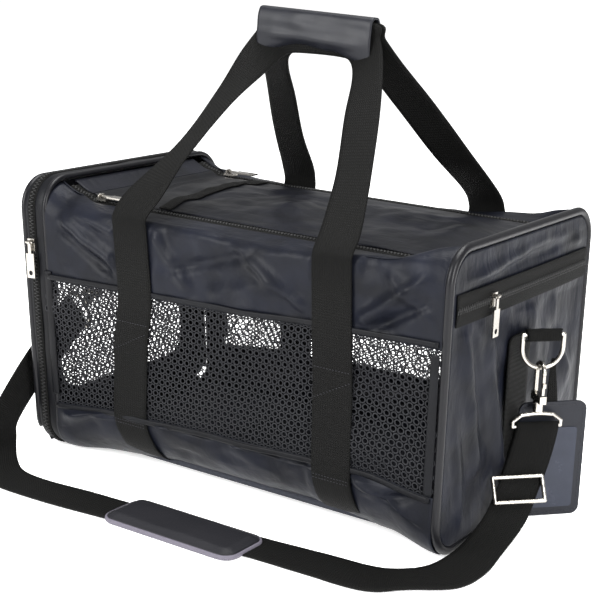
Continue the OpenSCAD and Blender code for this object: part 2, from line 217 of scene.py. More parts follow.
# Nylon monofilament wound into a coil: small hard glints.
coil = grained("nylon zip coil", "#0d0d0d", "#242424", 0.38, 700, 0.15)
# Spun polyester thread: dull, a shade lighter than the cloth.
thread = grained("sewing thread", "#1a1a1a", "#34343a", 0.6, 900, 0.2)
# Brushed polyester fleece: no gloss at all.
fleece = grained("cushion fleece", "#24252a", "#36383f", 0.9, 420, 0.8)
# Pressed fibre board, dyed through: dry and matt.
board_black = grained("fibre board", "#18181a", "#26262a", 0.8, 200, 0.3)
# Zinc castings, polished and nickel plated: bright, with a warm tinge.
nickel = grained("bright nickel plate", "#8d8983", "#aeaaa3", 0.24, 240, 0.04, Metallic=1.0)
# Drawn spring steel, bare: a greyer and duller metal.
steel_wire = grained("spring steel wire", "#6d6c6a", "#8b8a87", 0.35, 200, 0.1, Metallic=1.0)
print("finishes:", len(bpy.data.materials))

# %% [markdown]
# Two helpers carry most of the work. The first links a finished mesh to its body,
# when it is given a single body, and hides the frame's parts that it stands in for.
# The second lays a cloth: it takes an even grid and moves every crossing to its place
# on the bag, in millimetres. Where two edges of a grid meet in a ring, points closer
# than WELD are made one.

# %% Placing a piece and laying a cloth
WELD = 0.00005


def put(name, bm, material, body, nodes=(), thick=0.0, offset=0.0):
    mesh = bpy.data.meshes.new(name)
    bm.normal_update()
    bm.to_mesh(mesh)
    bm.free()
    obj = bpy.data.objects.new(name, mesh)
    bpy.context.scene.collection.objects.link(obj)
    mesh.materials.append(material)
    for face in mesh.polygons:
        face.use_smooth = True
    if thick:
        wall = obj.modifiers.new("cloth thickness", "SOLIDIFY")
        wall.thickness, wall.offset = thick * MM, offset
    if nodes:
        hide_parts(*nodes)
    if isinstance(body, str):
        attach(obj, body)
    else:
        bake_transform(obj)
    return obj


def lay(across, along, place, wide, long):
    bm = bmesh.new()
    bmesh.ops.create_grid(bm, x_segments=across, y_segments=along, size=0.5)
    uv = bm.loops.layers.uv.new("UVMap")
    for face in bm.faces:
        for loop in face.loops:
            here = loop.vert.co
            loop[uv].uv = (here.x * wide * MM, (here.y + 0.5) * long * MM)
    for vert in bm.verts:
        vert.co = Vector(place(vert.co.x + 0.5, vert.co.y + 0.5)) * MM
    return bm


# %% [markdown]
# A crease or a seam on a real bag is a smooth line, so we describe each by a few
# readings in millimetres. "line" joins readings of a height, and "through" draws a
# curve through points in space.

# %% Smooth lines
def smooth(t):
    t = min(1.0, max(0.0, t))
    return t * t * (3 - 2 * t)


def line(x, readings):
    for (x0, v0), (x1, v1) in zip(readings, readings[1:]):
        if x <= x1:
            return v0 + (v1 - v0) * smooth((x - x0) / (x1 - x0))
    return readings[-1][1]


def through(points, t):
    t = min(max(t, 0.0), 1.0) * (len(points) - 1)
    i = min(int(t), len(points) - 2)
    f = t - i
    p = [Vector(points[min(max(k, 0), len(points) - 1)]) for k in (i - 1, i, i + 1, i + 2)]
    return 0.5 * (2 * p[1] + (p[2] - p[0]) * f + (2 * p[0] - 5 * p[1] + 4 * p[2] - p[3]) * f * f
                  + (3 * p[1] - p[0] - 3 * p[2] + p[3]) * f ** 3)


# %% [markdown]
# A webbing strap is a flat band that never stretches, so both of its edges are drawn
# as curves and the band is laid between them. A little seeded noise keeps it from
# looking like sheet metal. Cloth gets its broad waves from "ripple", and its sharp
# creases from "folds", where each crease is a start, an end, a width and a height.

# %% Straps, ripples and folds
def belt(name, edge_a, edge_b, material, body, nodes=(), thick=1.6, steps=8,
         wave=0.25):
    middle = [(Vector(a) + Vector(b)) / 2 for a, b in zip(edge_a, edge_b)]
    long = sum((q - p).length for p, q in zip(middle, middle[1:]))
    wide = (Vector(edge_a[0]) - Vector(edge_b[0])).length

    def place(u, v):
        here = through(edge_a, v).lerp(through(edge_b, v), u)
        here.y += wave * noise.noise(here * 0.035)
        here.z += wave * noise.noise(here * 0.03 + Vector((7, 3, 1)))
        return here
    bm = lay(8, steps * (len(edge_a) - 1), place, wide, long)
    return put(name, bm, material, body, nodes, thick, 0.0)


def ripple(x, y, scale, depth, seed=0.0):
    return depth * noise.noise(Vector((x * scale, y * scale, seed)))


def folds(x, z, creases):
    total = 0.0
    for x0, z0, x1, z1, width, height in creases:
        run = Vector((x1 - x0, z1 - z0))
        t = ((x - x0) * run.x + (z - z0) * run.y) / run.length_squared
        off = abs((x - x0) * run.y - (z - z0) * run.x) / run.length
        if -0.1 < t < 1.1:
            total += 1.5 * height * math.exp(-(off / width) ** 2) * smooth(min(t + 0.1, 1.1 - t)
                                                                           * 4)
    return total


# %% [markdown]
# The body is a box of soft cloth hung between two firm end frames. The section below
# starts under the bag, turns up a round lower edge, climbs the side, turns over the
# crease and ends at the zip. The lower edge is lifted a little at mid-length and is
# tighter near the ends, and the crease is sharp in the middle and round at the ends,
# where the cloth must meet the frames. The door end leans, and "lean" tips a point.

# %% The lines of the body
LEAN = math.radians(4.45)
HX, HY = 225.0, 135.0
POCKET_SEAM = 219.2
STRAP_CENTRES = (-107, 115)


def lean(x, y, z):
    dx = x + HX
    return (-HX + dx * math.cos(LEAN) - z * math.sin(LEAN), y, dx * math.sin(LEAN) + z
            * math.cos(LEAN))


def near_end(x):
    return smooth((abs(x - 10) - 158) / 52)


def left_end(z):
    return -201.0 - z * math.sin(LEAN)


def crease(x, side):
    if side < 0:
        return line(x, [(-230, 266), (-195, 254), (-150, 247), (-87, 247), (31, 246), (110, 249),
                        (160, 253), (218, 267)])
    return line(x, [(-230, 267), (-195, 255), (-150, 247), (-83, 243), (23, 242), (89, 246),
                    (160, 253), (218, 267)])


def zip_height(x):
    return 249.4 + line(x, [(-230, 17), (-195, 5), (-184, 0), (203, 0), (218, 16)])


def lift(x):
    return 10.0 * smooth((205 - abs(x - 15)) / 150)


# %% [markdown]
# The section takes a place along the bag, a side and a share t: 0 is under the bag, 1
# the lower seam of the window, 2 its upper seam and 3 the zip on top.

# %% The section of the body
def section(x, side, t):
    tight = near_end(x)
    low = 45 - 18 * tight
    turn = 9 + 20 * tight
    top = crease(x, side)
    floor = lift(x)
    low_seam = line(x, [(-218, 48), (-120, 56), (0, 60), (150, 64), (218, 56)])
    top_seam = line(x, [(-222, 177), (-90, 180), (0, 182), (110, 187), (218, 190)])
    if t <= 0.3:
        y, z = -60 - (HY - low - 60) * t / 0.3, 0.6 + floor * smooth(t / 0.3)
    elif t <= 0.75:
        a = (t - 0.3) / 0.45 * math.pi / 2
        y, z = -HY + low - low * math.sin(a), floor + low - low * math.cos(a) + 0.6
    elif t <= 1:
        y, z = -HY, floor + low + 0.6 + (low_seam - floor - low - 0.6) * (t - 0.75) / 0.25
    elif t <= 2:
        y, z = -HY, low_seam + (top_seam - low_seam) * (t - 1)
    elif t <= 2.6:
        y, z = -HY, top_seam + (top - turn - top_seam) * (t - 2) / 0.6
    elif t <= 2.8:
        a = (t - 2.6) / 0.2 * math.pi / 2
        y, z = -HY + turn * (1 - math.cos(a)), top - turn * (1 - math.sin(a))
    else:
        f = (t - 2.8) / 0.2
        y, z = -HY + turn + (HY - turn - 107.5) * f, top + (zip_height(x) - top) * f
    return y * -side if side > 0 else y, z


print("section at mid-length:",
      [tuple(round(v, 1) for v in section(0, -1, t)) for t in (0, 1, 2, 3)])

# %% [markdown]
# Creases are listed as start, end, width and height in millimetres. On the front they
# fan out from the upper door-end corner, where the cloth is pulled to the frame, and
# one long crease crosses the pocket-end half. The height is how far the cloth stands
# out, and every panel also gets two seeded noises so that no stretch of it is flat.

# %% Side panels of nylon
FRONT_CREASES = [(-205, 240, -112, 196, 7, 4.0), (-205, 226, -130, 190, 5, -3.2),
                 (-190, 246, -118, 228, 5, 2.6), (-85, 240, -40, 190, 7, 3.0),
                 (-70, 205, 30, 236, 6, -2.4), (-20, 192, 60, 214, 8, 2.6),
                 (10, 240, 88, 196, 6, 3.0), (140, 196, 205, 244, 6, 4.2),
                 (150, 190, 212, 226, 5, -3.4), (165, 240, 212, 205, 5, 2.4)]
LOW_CREASES = [(-200, 40, -140, 52, 6, 3.0), (-80, 54, 10, 30, 8, 3.6), (-60, 30, 60, 52, 7, -3.4),
               (10, 56, 70, 30, 6, 3.4), (60, 30, 110, 56, 7, -2.6), (140, 60, 200, 30, 7, 4.0),
               (150, 38, 205, 58, 5, -3.0), (-190, 24, -150, 44, 6, -2.4)]


def side_panel(name, side, t0, t1, creases, steps, nodes, material):
    def place(u, v):
        t = t0 + (t1 - t0) * v
        z_guess = section(0, side, t)[1]
        x = left_end(z_guess) + (POCKET_SEAM - left_end(z_guess)) * u
        y, z = section(x, side, t)
        hold = smooth(min(u, 1 - u) * 14) * smooth(min(v, 1 - v) * 8)
        out = ripple(x, z + y, 0.016, 5.0, side) + ripple(x, z + y, 0.05, 1.8, 4 + side)
        out += folds(x if side < 0 else -x, z, creases)
        for strap in STRAP_CENTRES:
            out = out + (min(out, 0.4) * 0.4 - out) * smooth((27 - abs(x - strap)) / 7)
        if t < 0.75:
            return (x, y + side * out * 0.3 * hold, z + abs(out) * 0.4 * hold)
        if t > 2.75:
            return (x, y, z + out * 0.35 * hold)
        return (x, y + side * out * hold, z)
    bm = lay(210, steps, place, 420, 200)
    return put(name, bm, material, "bag", nodes, 1.2, 1.0 if side > 0 else -1.0)


side_panel("front_lower_cloth", -1, 0.0, 1.02, LOW_CREASES, 70, ["front_lower_panel"], shell_nylon)
side_panel("front_upper_cloth", -1, 1.97, 3.0, FRONT_CREASES, 80, ["front_upper_panel"],
           shell_nylon)
side_panel("back_lower_cloth", 1, 0.0, 1.02, LOW_CREASES, 70, ["back_lower_panel"], shell_nylon)
side_panel("back_upper_cloth", 1, 1.97, 3.0, FRONT_CREASES, 80, ["back_upper_panel", "top_margins"],
           shell_nylon)


# %% [markdown]
# Under the bag one flat cloth joins the two sides.

# %% The underside
def bottom_place(u, v):
    x, y = -201 + 418 * u, -62 + 124 * v
    return (x, y, 0.6 + abs(ripple(x, y, 0.03, 0.8)))


put("bottom_cloth", lay(60, 30, bottom_place, 124, 418), shell_nylon, "bag", ["bottom_panel"],
    1.2, 1.0)

# %% [markdown]
# The mesh is knitted with round eyes about 4 mm wide, 7 mm apart, in staggered rows.
# We lay six-sided cells edge to edge, weld them, inset each one and take out its
# middle, which leaves the yarn. A smoothing step rounds the eyes, and the net is then
# hung on the body between the two seams, with the slack that a knitted net has.

# %% Knitted mesh
def net(wide, tall, keep, place, pitch=7.0, yarn=1.35):
    bm = bmesh.new()
    row = pitch * math.sqrt(3) / 2
    for j in range(int(tall / row) + 2):
        for i in range(int(wide / pitch) + 2):
            x, z = i * pitch + (j % 2) * pitch / 2 - wide / 2, j * row - tall / 2
            if keep(x, z):
                spot = Matrix.Translation((x, z, 0)) @ Matrix.Rotation(math.radians(30), 4, "Z")
                bmesh.ops.create_circle(bm, cap_ends=True, segments=6, radius=pitch / math.sqrt(3),
                                        matrix=spot)
    bmesh.ops.remove_doubles(bm, verts=bm.verts[:], dist=0.2)
    cells = bm.faces[:]
    bmesh.ops.inset_individual(bm, faces=cells, thickness=yarn, use_even_offset=True)
    bmesh.ops.delete(bm, geom=cells, context="FACES")
    for vert in bm.verts:
        vert.co = Vector(place(vert.co.x, vert.co.y)) * MM
    return bm


def round_net(obj):
    soft = obj.modifiers.new("round eyes", "SUBSURF")
    soft.levels = soft.render_levels = 1
    wall = obj.modifiers.new("yarn thickness", "SOLIDIFY")
    wall.thickness, wall.offset = 0.8 * MM, 0.0


def hang(side):
    def place(a, b):
        v = (b + 66) / 132
        x = a + 7
        y, z = section(x, side, 1 + v)
        slack = smooth(min(v, 1 - v) * 5)
        out = (ripple(x, z, 0.018, 4.5, 9 + side) + ripple(x, z, 0.05, 1.4, 3)) * slack
        return (x, y + side * (out - 0.6), z)
    return place


for side, word in ((-1, "front"), (1, "back")):
    web = net(450, 140, lambda x, z: abs(z) < 67 and left_end(z + 118) - 2 < x + 7 < 218,
              hang(side))
    round_net(put(word + "_net", web, mesh_yarn, "bag", [word + "_mesh"]))

# %% [markdown]
# Where the mesh meets the nylon a folded edge is sewn down as a flat band. The same
# band runs up both ends of the window.

# %% Seam bands round the windows
def seam(name, side, t, x0, x1, wide):
    def place(u, v):
        x = x0 + (x1 - x0) * v
        y, z = section(x, side, t)
        out = ripple(x, z, 0.016, 3.2, side)
        return (x, y + side * (1.3 + max(out, 0) * 0.9 + 0.4 * math.sin(math.pi * u)),
                z + (u - 0.5) * wide)
    return put(name, lay(4, 120, place, wide, abs(x1 - x0)), band_nylon, "bag", (), 1.0,
               0.0)


for side, word in ((-1, "front"), (1, "back")):
    seam(word + "_low_seam", side, 1.0, -203, 217, 5)
    seam(word + "_top_seam", side, 2.0, -212, 217, 5)
    for at, edge in (("door", -1), ("pocket", 1)):
        def upright(u, v, side=side, edge=edge):
            z = section(0, side, 1 + v)[1]
            x = (218.5 - 8 * u) if edge > 0 else (left_end(z) - 2.5 + 8 * u)
            return (x, side * (135.9 + 0.4 * math.sin(math.pi * u)), z)
        put(word + "_" + at + "_window_edge", lay(6, 60, upright, 8, 126), band_nylon, "bag", (),
            1.0, 0.0)


# %% [markdown]
# A stitch is a short raised dash of thread, so each is one small stretched ball.

# %% Stitches
def stitches(name, spots, body, long=2.6):
    bm = bmesh.new()
    for spot, turn in spots:
        where = Matrix.Translation(Vector(spot) * MM) @ turn @ Matrix.Diagonal((long * MM,
                                                                                0.55 * MM, 0.5 * MM,
                                                                                1))
        bmesh.ops.create_icosphere(bm, subdivisions=1, radius=0.5, matrix=where)
    return put(name, bm, thread, body, ())


# %% [markdown]
# The top: a flap sewn into the pocket end, a darker smooth strip at the door end, and
# a zip along each long side. The cloth crowns slightly between its zips and is dented
# by its own weight. The hem between flap and strip runs a little askew.

# %% Top flap, door-end strip and hem
def top_height(x, y):
    free = (1 - (y / 92) ** 2) * (1 - smooth((abs(x - 4) - 150) / 44))
    return zip_height(x) - 0.3 + (6.5 + ripple(x, y, 0.02, 6.0, 2) + ripple(x, y, 0.055, 2.0,
                                                                            6)) * free


def top_sheet(name, x_from, x_to, body, nodes, material, above=0.0, steps=80):
    def place(u, v):
        y = -92 + 184 * u
        x = x_from(y) + (x_to(y) - x_from(y)) * v
        return (x, y, top_height(x, y) + above)
    return put(name, lay(70, steps, place, 184, 300), material, body, nodes, 1.2, -1.0)


def hem_line(y):
    return -112 - y * 0.1


top_sheet("top_flap_cloth", lambda y: hem_line(y) - 6, lambda y: 200.5, "flap", ["top_flap"],
          top_nylon)
top_sheet("door_end_strip", lambda y: -193.5, lambda y: hem_line(y) - 6, "flap", ["flap_window"],
          band_nylon)
top_sheet("flap_hem_band", lambda y: hem_line(y) - 9, lambda y: hem_line(y) + 4, "flap",
          ["flap_hem"], tape, 1.8, 6)
top_sheet("door_end_top_band", lambda y: -219.0, lambda y: -194.0, "bag", ["top_end_bands"],
          top_nylon, 0, 10)
top_sheet("pocket_end_top_band", lambda y: 201.0, lambda y: 218.0, "bag", (), top_nylon, 0, 10)
print("crown of the flap, mm:", round(top_height(0, 0) - zip_height(0), 1))

# %% [markdown]
# Zips: a woven tape folded back on each side of a nylon coil. The coil is a row of
# small bars from left and right that lock in turn, 1.7 mm apart here, which is close
# to a size 5 zip. The tape runs a hair above the cloth.

# %% Zips
TOOTH = 1.7


def zip_run(name, path, normal, across, long, body, nodes, tape_wide=15.0):
    bm = lay(6, max(8, int(long / 5)), lambda u, v: Vector(path(v)) + Vector(across(v))
             * ((u - 0.5) * tape_wide) + Vector(normal(v))
             * (0.3 + 0.5 * math.cos((u - 0.5) * math.pi) ** 2), tape_wide, long)
    put(name + "_tape", bm, tape, body, nodes, 0.8, 0.0)
    teeth = bmesh.new()
    for i in range(int(long / TOOTH)):
        v = (i + 0.5) * TOOTH / long
        n, a = Vector(normal(v)).normalized(), Vector(across(v)).normalized()
        turn = Matrix((a, n.cross(a), n)).transposed().to_4x4()
        where = Vector(path(v)) + n * 1.3 + a * (1.1 if i % 2 else -1.1)
        bmesh.ops.create_icosphere(teeth, subdivisions=1, radius=0.5,
                                   matrix=Matrix.Translation(where * MM) @ turn
                                   @ Matrix.Diagonal((4.6 * MM, TOOTH * MM, 1.9 * MM, 1)))
    put(name + "_coil", teeth, coil, body, ())


for side, word in ((-1, "front"), (1, "back")):
    def path(v, side=side):
        x = -213 + 430 * v
        return (x, side * 100, zip_height(x) - 0.8)
    zip_run("top_zip_" + word + "_run", path, lambda v: (0, 0, 1), lambda v: (0, 1, 0), 430, "bag",
            ["top_zip_" + word])

zip_run("pocket_zip_run", lambda v: (226.2 - 1.6 * abs(2 * v - 1) ** 3, -124 + 248 * v, 217),
        lambda v: (1, 0, 0), lambda v: (0, 0, 1), 248, "bag", ["pocket_zip"], 27)

# %% [markdown]
# The end frames are flat steel wires in covered piping that follow a rounded square.
# The loop below walks round that square: it gives the place and the outward direction
# at any share of the way, from the middle of the bottom edge.

# %% Walking round the end frames
def round_square(share, inset, wide=270.0, tall=270.0, corner=32.0, middle=135.0):
    w, h, r = wide / 2 - inset, tall / 2 - inset, max(corner - inset, 2.0)
    sides = [(w - r), math.pi * r / 2, 2 * (h - r), math.pi * r / 2, 2 * (w - r), math.pi * r / 2,
             2 * (h - r), math.pi * r / 2, (w - r)]
    way = (share % 1.0) * sum(sides)
    starts = [((0, -h), (1, 0)), ((w - r, -h + r), -90), ((w, -h + r), (0, 1)), ((w - r, h - r), 0),
              ((w - r, h), (-1, 0)), ((-w + r, h - r), 90), ((-w, h - r), (0, -1)),
              ((-w + r, -h + r), 180), ((-w + r, -h), (1, 0))]
    for length, (start, run) in zip(sides, starts):
        if way <= length:
            break
        way -= length
    if isinstance(run, tuple):
        y, z = start[0] + run[0] * way, start[1] + run[1] * way
        return y, z + middle, (run[1], -run[0])
    a = math.radians(run) + way / r
    out = (math.cos(a), math.sin(a))
    return start[0] + r * out[0], start[1] + r * out[1] + middle, out


# %% [markdown]
# Piping is a round tube led along that walk, and a band is a flat strip that puffs out
# a little between its seams. Both are a laid grid whose long edges are welded. The
# door's own piping leaves out the bottom edge, where the sill piping stays with the bag.

# %% Piping and bands round the ends
def hoop(name, x, inset, radius, tip, body, nodes, material, shares=(0.0, 1.0)):
    def place(u, v):
        y, z, out = round_square(shares[0] + (shares[1] - shares[0]) * v, inset)
        a = 2 * math.pi * u
        reach = radius * math.cos(a)
        return tip(x + radius * math.sin(a), y + out[0] * reach, z + out[1] * reach)
    bm = lay(14, 220, place, 2 * math.pi * radius, 1000)
    bmesh.ops.remove_doubles(bm, verts=bm.verts[:], dist=WELD)
    ends = [e for e in bm.edges if e.is_boundary]
    if ends:
        bmesh.ops.holes_fill(bm, edges=ends)
    bmesh.ops.recalc_face_normals(bm, faces=bm.faces[:])
    return put(name, bm, material, body, nodes)


def band_round(name, x0, x1, inset, tip, body, nodes, material, bulge, thick=1.4):
    def place(u, v):
        y, z, out = round_square(v, inset)
        x = x0 + (x1 - x0) * u
        puff = bulge * math.sin(math.pi * u) + ripple(y + z, x * 2, 0.03, 1.0, x0)
        return tip(x, y + out[0] * puff, z + out[1] * puff)
    bm = lay(10, 220, place, abs(x1 - x0), 1000)
    bmesh.ops.remove_doubles(bm, verts=bm.verts[:], dist=WELD)
    return put(name, bm, material, body, nodes, thick, 0.0)


def straight(x, y, z):
    return (x, y, z)


hoop("pocket_end_piping", 221.5, 3.6, 3.9, straight, "bag", ["end_piping"], piping_cover)
hoop("band_piping", -201.0, 2.4, 2.7, lean, "bag", ["gusset_piping"], piping_cover)
hoop("door_piping", -228.6, 3.6, 3.8, lean, "door", ["door_rim"], piping_cover,
     (0.136, 0.864))
hoop("door_sill_piping", -223.2, 2.8, 2.6, lean, "bag", (), piping_cover, (-0.128, 0.128))
band_round("door_band_cloth", -214.0, -202.5, 1.4, lean, "bag", ["door_gusset"], band_nylon,
           0.8)
band_round("door_band_edge", -225.0, -219.0, 1.2, lean, "bag", (), band_nylon, 0.6)


# %% [markdown]
# The door's zip runs round the same square, starting and ending near the middle of the
# bottom edge. Its tape lies flat on the band between bag and door.

# %% The door's zip
def door_zip_path(v):
    y, z, _ = round_square(0.02 + 0.96 * v, 0.2)
    return lean(-216.6, y, z)


def door_zip_out(v):
    out = round_square(0.02 + 0.96 * v, 0.2)[2]
    return (0, out[0], out[1])


zip_run("door_zip_run", door_zip_path, door_zip_out, lambda v: (1, 0, 0), 950, "bag", ["door_zip"],
        9)

# %% [markdown]
# The pocket end: a flat lining, and over it the pocket of loose nylon, cut off at the
# zip. Long soft folds fall from the zip towards the lower corners. A second strip of
# the same nylon fills the end above the zip.

# %% Pocket end
def corner_fit(u, v, wide, tall, r):
    y, z = (u - 0.5) * wide, (v - 0.5) * tall
    qy, qz = abs(y) - (wide / 2 - r), abs(z) - (tall / 2 - r)
    if qy > 0 and qz > 0:
        shrink = max(qy, qz) / math.hypot(qy, qz)
        y = math.copysign(wide / 2 - r + qy * shrink, y)
        z = math.copysign(tall / 2 - r + qz * shrink, z)
    return y, z


END_FOLDS = [(-110, 190, -70, 60, 8, 4.5), (-92, 200, -60, 90, 5, -3.5),
             (-60, 180, -20, 30, 9, 4.0), (-118, 120, -90, 20, 7, 3.6), (10, 200, 60, 80, 10, 3.2),
             (60, 196, 100, 110, 7, 3.4), (84, 190, 40, 40, 9, -3.2), (-30, 60, 40, 20, 9, 3.0),
             (-80, 50, -40, 12, 6, -2.8)]
TOP_FOLDS = [(-100, 238, 40, 252, 6, 3.0), (-40, 236, 100, 246, 5, -2.4),
             (20, 258, 110, 240, 7, 2.6)]


def pocket_place(u, v):
    y, z = corner_fit(u, v, 256, 255, 25)
    z += 135
    hold = smooth(min(u, 1 - u) * 10) * smooth(min(v, 1 - v) * 10)
    if 196 < z < 238:
        hold *= smooth(abs(z - 217) / 16 - 0.6)
    out = ripple(y, z, 0.014, 6.0, 1) + ripple(y, z, 0.045, 2.0, 5) + folds(y, z,
                                                                            END_FOLDS + TOP_FOLDS)
    return (224.0 + max(-2.2, out * 0.75) * hold, y, z)


def board_place(u, v):
    y, z = corner_fit(u, v, 255, 255, 25)
    return (221.4, y, z + 135)


put("pocket_cloth", lay(120, 120, pocket_place, 256, 255), shell_nylon, "bag", ["pocket_panel"],
    1.2, -1.0)
put("end_lining", lay(20, 20, board_place, 255, 255), top_nylon, "bag", ["end_panel"], 1.2,
    -1.0)
print("folds on the pocket end:", len(END_FOLDS + TOP_FOLDS))

# %% [markdown]
# The door: a frame of nylon round a window of the same net, hung inside its piping. It
# is drawn upright and tipped by the lean of that end.

# %% Door cloth and its window
def door_cloth(u, v):
    yo, zo, out = round_square(v, 7.4)
    yi, zi, _ = round_square(v, 0, 190, 150, 24, 122)
    y, z = yi + (yo - yi) * u, zi + (zo - zi) * u
    puff = 1.6 * math.sin(math.pi * u) + ripple(y, z, 0.03, 2.0, 8) * smooth(min(u, 1 - u) * 5)
    return lean(-229.6 - puff, y, max(z, 8.6))


bm = lay(24, 200, door_cloth, 50, 800)
bmesh.ops.remove_doubles(bm, verts=bm.verts[:], dist=WELD)
put("door_cloth", bm, shell_nylon, "door", ["door_panel"], 1.2, 0.0)


# %% [markdown]
# The door turns on its lower seam. On the real bag the cloth there simply bends, and
# here a narrow strip between the bag and the door closes the gap.

# %% The door's lower seam
def seam_strip(u, v):
    return lean(-224.6 - 5.2 * v, -122 + 244 * u, 3.6 + 8.0 * v)


bend_start = tuple(c * MM for c in lean(-225.0, 0, 6.6))
bend_end = tuple(c * MM for c in lean(-227.6, 0, 9.6))
put("door_hinge_strip", lay(60, 8, seam_strip, 244, 9), band_nylon,
    ("bag", "door", bend_start, bend_end), (), 1.0, 0.0)

# %% [markdown]
# The door's window is the same net, cut to a rounded rectangle and hung just behind
# the cloth that frames it.

# %% The door's net
def in_window(y, z):
    w, h, r = 98, 78, 26
    qy, qz = abs(y) - w + r, abs(z) - h + r
    return abs(y) < w and abs(z) < h and (qy <= 0 or qz <= 0 or math.hypot(qy, qz) < r)


bm = net(204, 164, in_window, lambda y, z: lean(-229.0 - ripple(y, z, 0.03, 2.0, 8) * 0.5, y,
                                                z + 122))
round_net(put("door_net", bm, mesh_yarn, "door", ["door_mesh"]))

# %% [markdown]
# The carry handles. Each handle is one length of webbing: it starts under the bag,
# climbs the face, leaves it at the crease, runs through the grip and comes down the
# same way. Its edges are given point by point, and the front handle's door-end leg
# has a slight twist. It bends where it leaves the body. Rows of stitches hold it to
# the bag at its foot and at mid-height.

# %% Carry handles
def face_run(centre, side):
    run = []
    for t, y_out, z in ((0, 40, 0.9), (0, 84, 1.2), (0.3, 103, 5.0), (0.5, 121, 15), (0.7, 133, 30),
                        (0, 136.6, 55), (0, 136.8, 95), (0, 136.8, 132), (0, 137.0, 170),
                        (0, 137.2, 217), (0, 137.0, 240)):
        x = line(z, centre)
        if 4 < z < 60:
            z += lift(x) * 0.8 * smooth((60 - z) / 40)
        run.append((x, side * y_out, z))
    return run


LEFT = [(0, -105), (20, -100), (55, -108), (132, -107.5), (170, -103), (217, -107), (245, -110)]
RIGHT = [(0, 122), (20, 124), (45, 119.5), (122, 118), (210, 113.5), (245, 112)]
LEG = {"la": [(-129, 136.6, 251), (-124, 123, 270), (-110, 87, 311), (-92, 49, 356), (-77, 18, 393),
              (-67, 5, 415), (-56, 3.4, 430)],
       "lb": [(-90, 136.6, 251), (-84, 123, 269), (-71, 83, 306), (-56, 45, 350), (-46, 18, 379),
              (-36, 5, 393), (-22, 3.4, 397)],
       "ra": [(93, 136.6, 251), (92, 123, 269), (78, 83, 306), (60, 45, 350), (49, 18, 379),
              (38, 5, 393), (24, 3.4, 397)],
       "rb": [(132, 136.6, 251), (131, 123, 270), (116, 87, 311), (98, 49, 356), (80, 18, 393),
              (68, 5, 415), (56, 3.4, 430)]}
TWIST = {"la": {2: (-106, 70, 312), 3: (-90, 36, 357)},
         "lb": {2: (-75, 97, 305), 3: (-58, 57, 350)}}


def shift(points, dx):
    return [(x + dx, y, z) for x, y, z in points]


def legs(key, side):
    run = list(LEG[key])
    for i, spot in TWIST.get(key, {}).items():
        if side < 0:
            run[i] = spot
    return [(x, side * y, z) for x, y, z in run]


for side, word in ((-1, "front"), (1, "back")):
    outer = shift(face_run(LEFT, side), -19.8) + legs("la", side) + legs("rb", side)[::-1] \
        + shift(face_run(RIGHT, side), 19.8)[::-1]
    inner = shift(face_run(LEFT, side), 19.8) + legs("lb", side) + legs("ra", side)[::-1] \
        + shift(face_run(RIGHT, side), -19.8)[::-1]
    nodes = [word + "_handle"] + (["side_webs", "under_webs"] if side < 0 else [])
    belt(word + "_handle_webbing", outer, inner, webbing,
         ("bag", word + "_carry_handle", (0, side * 0.1366, 0.240), (0, side * 0.130, 0.264)),
         nodes)
    rows = []
    for centre in (LEFT, RIGHT):
        for z in (50, 53, 132, 150):
            for i in range(12):
                x = line(z, centre) - 17 + i * 3.1
                rows.append(((x, side * 138.2, z + (18 * (i / 11 - 0.5) if z == 132 else 0)),
                             Matrix.Identity(4)))
    stitches(word + "_strap_stitches", rows, "bag")
print("stitches on each face:", len(rows))

# %% [markdown]
# The grip wrap is a flap of smooth coated cloth folded round both handles and closed
# below. It parts at the fold, one half with each handle.

# %% Grip wrap
GRIP_CREASES = [(-60, 414, 50, 408, 4, 1.8), (-20, 428, 60, 422, 5, -1.2)]


def wrap_place(side):
    def place(u, v):
        x = -64 + 124 * v
        low = line(x, [(-64, 398), (-20, 407), (15, 403), (55, 393)])
        ridge = 437 - (x + 64) * 0.03
        points = [(-0.2, ridge), (-5.0, ridge - 1.5), (-8.2, ridge - 9), (-8.6, (ridge + low) / 2),
                  (-8.0, low + 7), (-6.0, low + 1), (-2.4, low - 1.6)]
        spot = through([(0, y, z) for y, z in points], u)
        out = ripple(x, spot.z, 0.04, 1.6, 3) + folds(x, spot.z, GRIP_CREASES)
        return (x, -side * (spot.y - out * 0.7 * smooth(u * 5) * smooth((1 - u) * 5)), spot.z)
    return place


for side, word in ((-1, "front"), (1, "back")):
    put("grip_" + word + "_half", lay(34, 70, wrap_place(side), 60, 127), coated_cloth,
        word + "_carry_handle", ["grip_wrap_" + word], 1.8, 0.0)

# %% [markdown]
# The shoulder strap hangs from a hook at each end, turns on the floor and runs along
# the front of the bag through a foam pad. It is flat webbing and is modelled as it
# lies. The fittings at the pocket end hang turned away from the bag, so their loops
# are drawn in a frame of their own: n across the ring, w along its bar.

# %% The strap from the pocket end
FITTING_TURN = math.radians(-42)
FITTING_X, FITTING_Y = 245.8, -1
C, S = math.cos(FITTING_TURN), math.sin(FITTING_TURN)


def hardware(n, w, z):
    return (FITTING_X + C * n - S * w, FITTING_Y + S * n + C * w, z)


def pair(n, z, half=19.6, twist=0.0):
    return hardware(n - twist, -half, z), hardware(n + twist, half, z)


